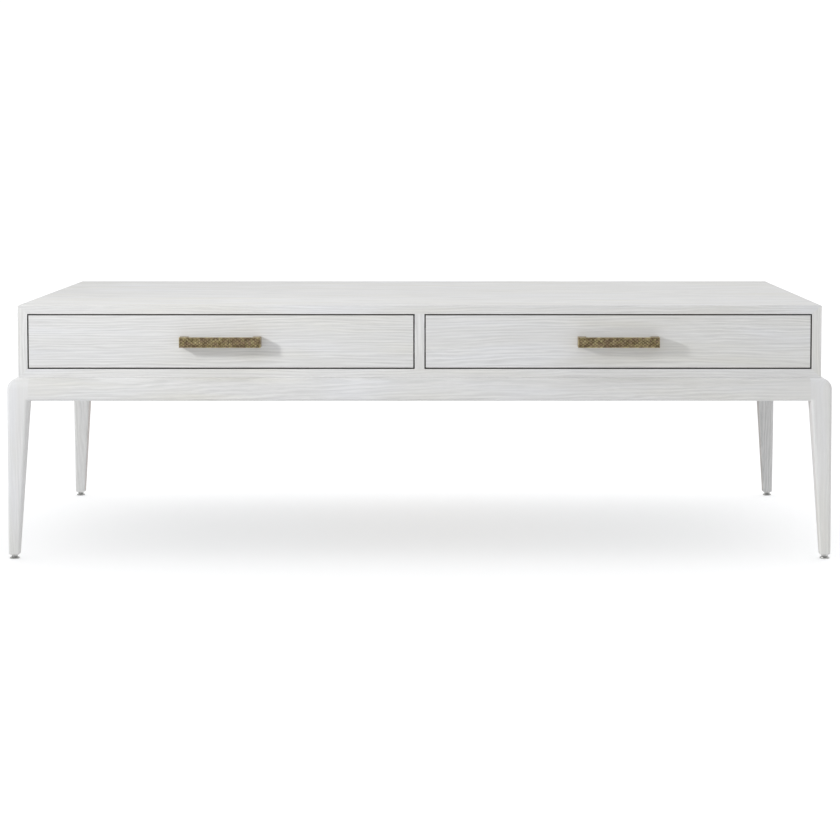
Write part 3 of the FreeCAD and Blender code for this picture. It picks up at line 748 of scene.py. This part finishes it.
def build_pull(side, settings, material):
    node_name = side + "_drawer_pull"
    low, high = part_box(node_name)
    length, height = high.x - low.x, high.z - low.z
    rng = random.Random(PULL_SEEDS[side])
    bm = bmesh.new()
    border, hollow = cross_hatched_bar(bm, length, height, settings, rng)
    radius = settings.edge_round
    field = (length / 2 - radius, height / 2 - radius)

    # Round the front edge over, then run the sides back to the bar's back
    steps = 4
    sizes = [(field[0], field[1], 0.0)]
    for step in range(1, steps + 1):
        turn = math.pi / 2 * step / steps
        out = radius * math.sin(turn)
        sizes.append((field[0] + out, field[1] + out, -radius * (1 - math.cos(turn))))
    sizes.append((length / 2, height / 2, -settings.bar_thickness))
    for before, after in zip(sizes, sizes[1:]):
        made = bmesh.ops.extrude_edge_only(bm, edges=border)["geom"]
        verts = [item for item in made if isinstance(item, bmesh.types.BMVert)]
        bmesh.ops.scale(
            bm, verts=verts, vec=(after[0] / before[0], after[1] / before[1], 1))
        bmesh.ops.translate(bm, verts=verts, vec=(0, 0, after[2] - before[2]))
        border = [
            item for item in made
            if isinstance(item, bmesh.types.BMEdge) and item.is_boundary]
    bmesh.ops.contextual_create(bm, geom=border)

    # The posts grow from the two ends of the bar's back
    post = length / settings.diamonds_long * 2
    for side_x in (-1, 1):
        back = back_faces(bm, settings.bar_thickness)
        edges = {edge for face in back for edge in face.edges}
        verts = {vert for face in back for vert in face.verts}
        bmesh.ops.bisect_plane(
            bm, geom=back + list(edges) + list(verts), dist=MERGE,
            plane_co=(side_x * (length / 2 - post), 0, 0), plane_no=(1, 0, 0))
    depth = high.y - low.y - settings.bar_thickness
    for face in back_faces(bm, settings.bar_thickness):
        if abs(face.calc_center_median().x) > length / 2 - post:
            grown = bmesh.ops.extrude_discrete_faces(bm, faces=[face])["faces"]
            verts = list({vert for one in grown for vert in one.verts})
            bmesh.ops.translate(bm, verts=verts, vec=(0, 0, -depth))
    struck = bm.faces.layers.float["struck"]
    for face in bm.faces:
        level = face.calc_center_median().z
        if level < -ON_PLANE:
            face[hollow] = 0.0
            face[struck] = 0.2 if level < -radius else 0.9

    # Stand the bar up in front of its drawer
    middle = (low + high) / 2
    depth_shift = low.y + settings.groove_depth
    turn_about(bm, bm.verts, 90, "X")
    bmesh.ops.translate(bm, verts=bm.verts, vec=(middle.x, depth_shift, middle.z))
    for vert in bm.verts:
        vert.co.y = min(vert.co.y, high.y)
    finish_piece(
        side + "_cross_hatched_pull", bm, material, node_name,
        limit=math.radians(24))


def cross_radius(turn, arm, half_width):
    """Distance from the middle to the outline of a cross-shaped recess"""
    turn = abs((turn + math.pi / 4) % (math.pi / 2) - math.pi / 4)
    reach = arm / math.cos(turn)
    if reach * math.sin(turn) > half_width:
        reach = half_width / math.sin(turn)
    return reach


def cross_head_screw(bm, seat, direction, sizes):
    """A pan-head screw: the head stands on the seat, the shank goes along direction"""
    shank_radius, shank_length, head_radius, head_height = sizes
    thread = shank_radius * 0.8
    outline = [(0, -shank_length), (shank_radius * 0.3, -shank_length + shank_radius)]
    turns = int((shank_length - 2 * shank_radius) / thread)
    for turn in range(turns):
        height = -shank_length + 1.6 * shank_radius + turn * thread
        outline.append((shank_radius * 0.76, height))
        outline.append((shank_radius, height + thread * 0.5))
    rim = head_radius * 0.62
    outline += [
        (shank_radius * 0.76, -thread * 0.3),
        (shank_radius * 0.9, 0),
        (head_radius * 0.97, 0),
        (head_radius, head_height * 0.18),
        (head_radius * 0.97, head_height * 0.50),
        (head_radius * 0.86, head_height * 0.80),
        (rim, head_height),
    ]
    known = set(bm.verts)
    made = lathe(bm, outline, 24)
    ring = [vert for vert in made if abs(vert.co.z - head_height) < ON_PLANE]
    edges = [edge for edge in bm.edges if edge.verts[0] in ring and edge.verts[1] in ring]
    top = bmesh.ops.contextual_create(bm, geom=edges)["faces"][0]
    bmesh.ops.inset_individual(bm, faces=[top], thickness=head_radius * 0.06, depth=0.0)
    for vert in top.verts:
        turn = math.atan2(vert.co.y, vert.co.x)
        reach = cross_radius(turn, head_radius * 0.50, head_radius * 0.15)
        vert.co.x, vert.co.y = reach * math.cos(turn), reach * math.sin(turn)
    for drop, size in ((0.50, 0.82), (0.22, 0.30)):
        grown = bmesh.ops.extrude_discrete_faces(bm, faces=[top])["faces"]
        top = grown[0]
        verts = list(top.verts)
        bmesh.ops.translate(bm, verts=verts, vec=(0, 0, -head_height * drop))
        bmesh.ops.scale(bm, verts=verts, vec=(size, size, 1))
    bmesh.ops.transform(bm, matrix=aim(seat, -Vector(direction)), verts=new_verts(bm, known))


def build_glide(corner, settings, material):
    """Threaded stem, hexagon nut and rimmed disc of a levelling glide"""
    node_name = corner + "_glide"
    low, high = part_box(node_name)
    middle = (low + high) / 2
    bm = bmesh.new()
    disc = (high.x - low.x) / 2
    stem = 4.0 * MM
    outline = [
        (0, 0.0), (disc - 1.1 * MM, 0.0), (disc - 0.35 * MM, 0.25 * MM), (disc, 0.9 * MM),
        (disc, 1.9 * MM), (disc - 0.3 * MM, 2.5 * MM), (disc - 1.2 * MM, 2.9 * MM),
        (6.6 * MM, 3.0 * MM), (5.4 * MM, 3.3 * MM), (5.0 * MM, 3.9 * MM),
    ]
    # The thread starts just inside the nut's upper end
    root, crest, top = stem * 0.86, stem * 0.99, high.z - low.z
    outline += [(4.2 * MM, 4.4 * MM), (root, 4.8 * MM)]
    height = 7.9 * MM
    while height < top - 1.6 * MM:
        outline += [(root, height), (crest, height + settings.thread_pitch * 0.5)]
        height += settings.thread_pitch
    outline += [(root, top - 0.9 * MM), (stem * 0.7, top), (0, top)]
    lathe(bm, outline, 40)
    # The nut is a hexagon whose corners are turned off at both ends
    nut_radius, nut_height, nut_middle = 6.45 * MM, 3.8 * MM, 6.05 * MM
    known = set(bm.verts)
    nut = bmesh.ops.create_cone(
        bm, cap_ends=True, cap_tris=False, segments=6, radius1=nut_radius, radius2=nut_radius,
        depth=nut_height)["verts"]
    bmesh.ops.translate(bm, verts=nut, vec=(0, 0, nut_middle))
    corners = set(nut)
    rims = [edge for edge in bm.edges
            if edge.verts[0] in corners and edge.verts[1] in corners
            and abs(edge.verts[0].co.z - edge.verts[1].co.z) < ON_PLANE]
    bevel_edges(bm, rims, 0.45 * MM, 2)
    turn_about(bm, new_verts(bm, known), 12, "Z")
    bmesh.ops.translate(bm, verts=bm.verts, vec=(middle.x, middle.y, low.z))
    finish_piece(corner + "_levelling_glide", bm, material, node_name)


def build_cages(node_name, settings, material):
    """Ball cages of one stage: a plate with a row of balls for each raceway"""
    low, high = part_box(node_name)
    width, ball = 3.6 * MM, 3.2 * MM
    bm = bmesh.new()
    for x in (low.x + width / 2, high.x - width / 2):
        for z in (low.z + ball / 2, high.z - ball / 2):
            plate = box_of(
                bm, (x - width / 2, low.y, z - settings.cage_plate / 2),
                (x + width / 2, high.y, z + settings.cage_plate / 2))
            edges = list({edge for vert in plate for edge in vert.link_edges})
            bevel_edges(bm, edges, settings.cage_plate * 0.2, 1)
            count = int((high.y - low.y - 2 * ball) / settings.ball_pitch)
            start = (low.y + high.y - count * settings.ball_pitch) / 2
            for index in range(count + 1):
                centre = (x, start + index * settings.ball_pitch, z)
                bmesh.ops.create_uvsphere(
                    bm, u_segments=8, v_segments=6, radius=ball / 2,
                    matrix=Matrix.Translation(centre))
    finish_piece(
        node_name.replace("slide_", "") + "_with_balls", bm, material, node_name,
        limit=math.radians(60))


def loose_parts(node_name):
    """The separate solids of a CAD node, each as a list of points"""
    bm = bmesh.new()
    bm.from_mesh(frame["nodes"][node_name].data)
    bmesh.ops.remove_doubles(bm, verts=bm.verts, dist=MERGE)
    left = set(bm.verts)
    parts = []
    while left:
        reached = [left.pop()]
        part = []
        while reached:
            vert = reached.pop()
            part.append(vert.co.copy())
            for edge in vert.link_edges:
                other = edge.other_vert(vert)
                if other in left:
                    left.remove(other)
                    reached.append(other)
        parts.append(part)
    bm.free()
    return sorted(parts, key=lambda part: tuple(round(x, 5) for x in part_middle(part)))


def part_middle(points):
    return [(min(p[i] for p in points) + max(p[i] for p in points)) / 2 for i in range(3)]


def build_screws(node_name, axis, sizes, material):
    """Cross-head screws in place of a node's plain ones, heads where they were"""
    head_height = sizes[3]
    bm = bmesh.new()
    index = "xyz".index(axis)
    for points in loose_parts(node_name):
        middle = part_middle(points)
        low = min(point[index] for point in points)
        high = max(point[index] for point in points)
        # The head is the wider end
        width = {}
        for end in (low, high):
            width[end] = max(
                (point - Vector(middle)).length for point in points
                if abs(point[index] - end) < AT_END)
        into = 1 if width[low] > width[high] else -1
        seat = Vector(middle)
        seat[index] = low + head_height if into > 0 else high - head_height
        direction = Vector((0, 0, 0))
        direction[index] = into
        cross_head_screw(bm, seat, direction, sizes)
    finish_piece(
        node_name.replace("screws", "cross_head_screws"), bm, material, node_name)


# ---------------------------------------- operators
class TABLE_OT_oak(bpy.types.Operator):
    """Finish the oak case, drawer fronts, aprons and legs"""

    bl_idname = "table.oak"
    bl_label = "Oak Case and Base"

    def execute(self, context):
        oak = context.scene.cocktail_table.oak
        for node_name in OAK_BOARDS:
            # The case's inside and the drawer fronts' edges get painted shade for the gaps
            gap_shade = None
            if node_name.startswith("case_"):
                gap_shade = tuple(oak.inner_gap_shade)
            elif "drawer" in node_name:
                gap_shade = tuple(oak.edge_gap_shade)
            dress(node_name, oak_finish(node_name, oak, gap_shade))
        return {"FINISHED"}


class TABLE_OT_drawer_boxes(bpy.types.Operator):
    """Finish the drawer boxes, the corner blocks and the cross rail"""

    bl_idname = "table.drawer_boxes"
    bl_label = "Drawer Boxes and Blocks"

    def execute(self, context):
        wood = context.scene.cocktail_table.inner_wood
        maple = {
            along: inner_wood_finish(
                "maple_along_" + along, along, wood.maple_light, wood.maple_dark)
            for along in "xy"}
        birch = plywood_finish(
            "birch_plywood", "x", wood.birch_light, wood.birch_dark, wood.ply_thickness)
        parts = {"front": "x", "back": "x", "left_side": "y", "right_side": "y"}
        for side in SIDES:
            for part, along in parts.items():
                dress(f"{side}_drawer_box_{part}", maple[along])
            dress(f"{side}_drawer_box_bottom", birch)
        rough = inner_wood_finish(
            "frame_hardwood", "y", wood.frame_light, wood.frame_dark, 0.03, 0.6)
        dress("base_cross_rail", rough)
        dress("base_corner_blocks", rough)
        return {"FINISHED"}


class TABLE_OT_pulls(bpy.types.Operator):
    """Model the two cross-hatched brass pulls"""

    bl_idname = "table.pulls"
    bl_label = "Brass Pulls"

    def execute(self, context):
        pull = context.scene.cocktail_table.pull
        brass = brass_finish("antique_brass", pull)
        for side in SIDES:
            build_pull(side, pull, brass)
        return {"FINISHED"}


class TABLE_OT_slides(bpy.types.Operator):
    """Finish the slide members and model their ball cages"""

    bl_idname = "table.slides"
    bl_label = "Ball Bearing Slides"

    def execute(self, context):
        metal = context.scene.cocktail_table.metal
        zinc = plated_finish("zinc_plated_slide_steel", metal.zinc, 0.34, brushed="y")
        for side in SIDES:
            for hand in SIDES:
                for member in ("outer", "middle", "inner"):
                    dress(f"{side}_drawer_{hand}_slide_{member}_member", zinc)
            for stage in ("outer", "inner"):
                build_cages(f"{side}_drawer_slide_{stage}_ball_cages", metal, zinc)
        return {"FINISHED"}


class TABLE_OT_screws(bpy.types.Operator):
    """Model the screws of the case, the drawers and the slides"""

    bl_idname = "table.screws"
    bl_label = "Screws and Inserts"

    def execute(self, context):
        metal = context.scene.cocktail_table.metal
        plate = plated_finish("screw_zinc", metal.screw_zinc, 0.30)
        slide_screw = (1.6 * MM, 8.0 * MM, 3.15 * MM, 1.4 * MM)
        front_screw = (1.75 * MM, 24.0 * MM, 3.45 * MM, 2.0 * MM)
        pull_screw = (2.0 * MM, 39.0 * MM, 3.95 * MM, 2.4 * MM)
        case_screw = (2.25 * MM, 33.0 * MM, 3.95 * MM, 2.6 * MM)
        build_screws("case_fixing_screws", "z", case_screw, plate)
        build_screws("case_slide_screws", "x", slide_screw, plate)
        for side in SIDES:
            build_screws(f"{side}_drawer_slide_runner_screws", "x", slide_screw, plate)
            build_screws(f"{side}_drawer_front_screws", "y", front_screw, plate)
            build_screws(f"{side}_drawer_pull_screws", "y", pull_screw, plate)
        dress("glide_inserts", plate)
        return {"FINISHED"}


class TABLE_OT_glides(bpy.types.Operator):
    """Model the four levelling glides"""

    bl_idname = "table.glides"
    bl_label = "Levelling Glides"

    def execute(self, context):
        metal = context.scene.cocktail_table.metal
        nickel = plated_finish("satin_nickel", metal.nickel, 0.32)
        for corner in CORNERS:
            build_glide(corner, metal, nickel)
        return {"FINISHED"}


class TABLE_OT_stage(bpy.types.Operator):
    """Set up the floor, the studio light and the camera"""

    bl_idname = "table.stage"
    bl_label = "Stage"

    def execute(self, context):
        stage = context.scene.cocktail_table.stage
        floor = self.lay_floor(stage)
        self.light_studio(context, stage, floor)
        self.place_camera(context, stage)
        context.scene.view_settings.view_transform = "Standard"
        context.scene.view_settings.look = "None"
        return {"FINISHED"}

    def lay_floor(self, stage):
        bm = bmesh.new()
        bmesh.ops.create_grid(bm, x_segments=1, y_segments=1, size=stage.floor_half)
        mesh = bpy.data.meshes.new("studio_floor")
        bm.to_mesh(mesh)
        bm.free()
        floor = bpy.data.objects.new("studio_floor", mesh)
        bpy.context.scene.collection.objects.link(floor)
        finish = Finish("white_floor")
        # The floor looks brighter to the camera than to the table
        seen = finish.add("ShaderNodeLightPath").outputs["Is Camera Ray"]
        finish.surface(
            Base_Color=opaque(stage.floor_colour), Roughness=0.9, Specular_IOR_Level=0.0,
            Emission_Color=(1.0, 1.0, 1.0, 1.0),
            Emission_Strength=finish.spread(
                seen, 0.0, 1.0, stage.floor_bounce, stage.floor_glow))
        mesh.materials.append(finish.material)
        return floor

    def light_studio(self, context, stage, floor):
        world = bpy.data.worlds.new("studio")
        world.use_nodes = True
        context.scene.world = world
        dome = Nodes(world.node_tree)
        background = dome.tree.nodes["Background"]
        background.inputs["Color"].default_value = (1.0, 1.0, 1.0, 1.0)
        way = dome.add("ShaderNodeTexCoord").outputs["Generated"]
        rise = dome.add(
            "ShaderNodeVectorMath", {0: way, 1: stage.rise_of_light}, operation="DOT_PRODUCT")
        light = dome.math("ADD", rise.outputs["Value"], stage.side_light)
        light = dome.math("MAXIMUM", light, 0.0)
        seen = dome.add("ShaderNodeLightPath").outputs["Is Camera Ray"]
        # A Mix node's plain numbers are its sockets 2 and 3
        strength = dome.add("ShaderNodeMix", {0: seen, 2: light, 3: stage.backdrop})
        dome.put(background.inputs["Strength"], strength.outputs[0])
        lamp = bpy.data.lights.new("key_light", "AREA")
        lamp.shape = "DISK"
        lamp.size = stage.key_size
        lamp.energy = stage.key_power
        key = bpy.data.objects.new("key_light", lamp)
        key.location = stage.key_place
        aim_line = Vector(stage.key_aim) - key.location
        key.rotation_euler = aim_line.to_track_quat("-Z", "Y").to_euler()
        context.scene.collection.objects.link(key)
        # The key light leaves the floor out, so that only soft shadows lie on it
        lit_by_key = bpy.data.collections.new("lit_by_key_light")
        lit_by_key.objects.link(floor)
        lit_by_key.collection_objects[0].light_linking.link_state = "EXCLUDE"
        key.light_linking.receiver_collection = lit_by_key
        # The floor's glow passes the pulls, so that no dark band lies above them
        clear_of_glow = bpy.data.collections.new("clear_of_floor_glow")
        for side in SIDES:
            clear_of_glow.objects.link(bpy.data.objects[side + "_cross_hatched_pull"])
        for member in clear_of_glow.collection_objects:
            member.light_linking.link_state = "EXCLUDE"
        floor.light_linking.blocker_collection = clear_of_glow

    def place_camera(self, context, stage):
        lens = bpy.data.cameras.new("camera")
        lens.sensor_width = 36.0
        lens.lens = stage.lens
        lens.shift_x = stage.shift_x
        lens.shift_y = stage.shift_y
        camera = bpy.data.objects.new("camera", lens)
        camera.location = stage.camera_place
        camera.rotation_euler = (math.pi / 2 - stage.camera_tilt, 0, 0)
        context.scene.collection.objects.link(camera)
        context.scene.camera = camera


class TABLE_PT_panel(bpy.types.Panel):
    """Lists the steps that dress the table"""

    bl_idname = "TABLE_PT_panel"
    bl_label = "Cocktail Table"
    bl_space_type = "VIEW_3D"
    bl_region_type = "UI"
    bl_category = "Table"

    def draw(self, context):
        settings = context.scene.cocktail_table
        for group_name in ("oak", "inner_wood", "pull", "metal", "stage"):
            group = getattr(settings, group_name)
            box = self.layout.box()
            box.label(text=group_name.replace("_", " ").capitalize())
            for key in type(group).__annotations__:
                box.prop(group, key)
        for operator in OPERATORS:
            self.layout.operator(operator.bl_idname)


SETTINGS = (
    OakSettings, InnerWoodSettings, PullSettings, MetalSettings, StageSettings, TableSettings)
OPERATORS = (
    TABLE_OT_oak, TABLE_OT_drawer_boxes, TABLE_OT_pulls, TABLE_OT_slides, TABLE_OT_screws,
    TABLE_OT_glides, TABLE_OT_stage)
CLASSES = SETTINGS + OPERATORS + (TABLE_PT_panel,)


def register():
    for one in CLASSES:
        bpy.utils.register_class(one)
    bpy.types.Scene.cocktail_table = PointerProperty(type=TableSettings)


def unregister():
    del bpy.types.Scene.cocktail_table
    for one in reversed(CLASSES):
        bpy.utils.unregister_class(one)


def main():
    register()
    for operator in OPERATORS:
        module, name = operator.bl_idname.split(".")
        getattr(getattr(bpy.ops, module), name)()


if __name__ == "__main__":
    main()
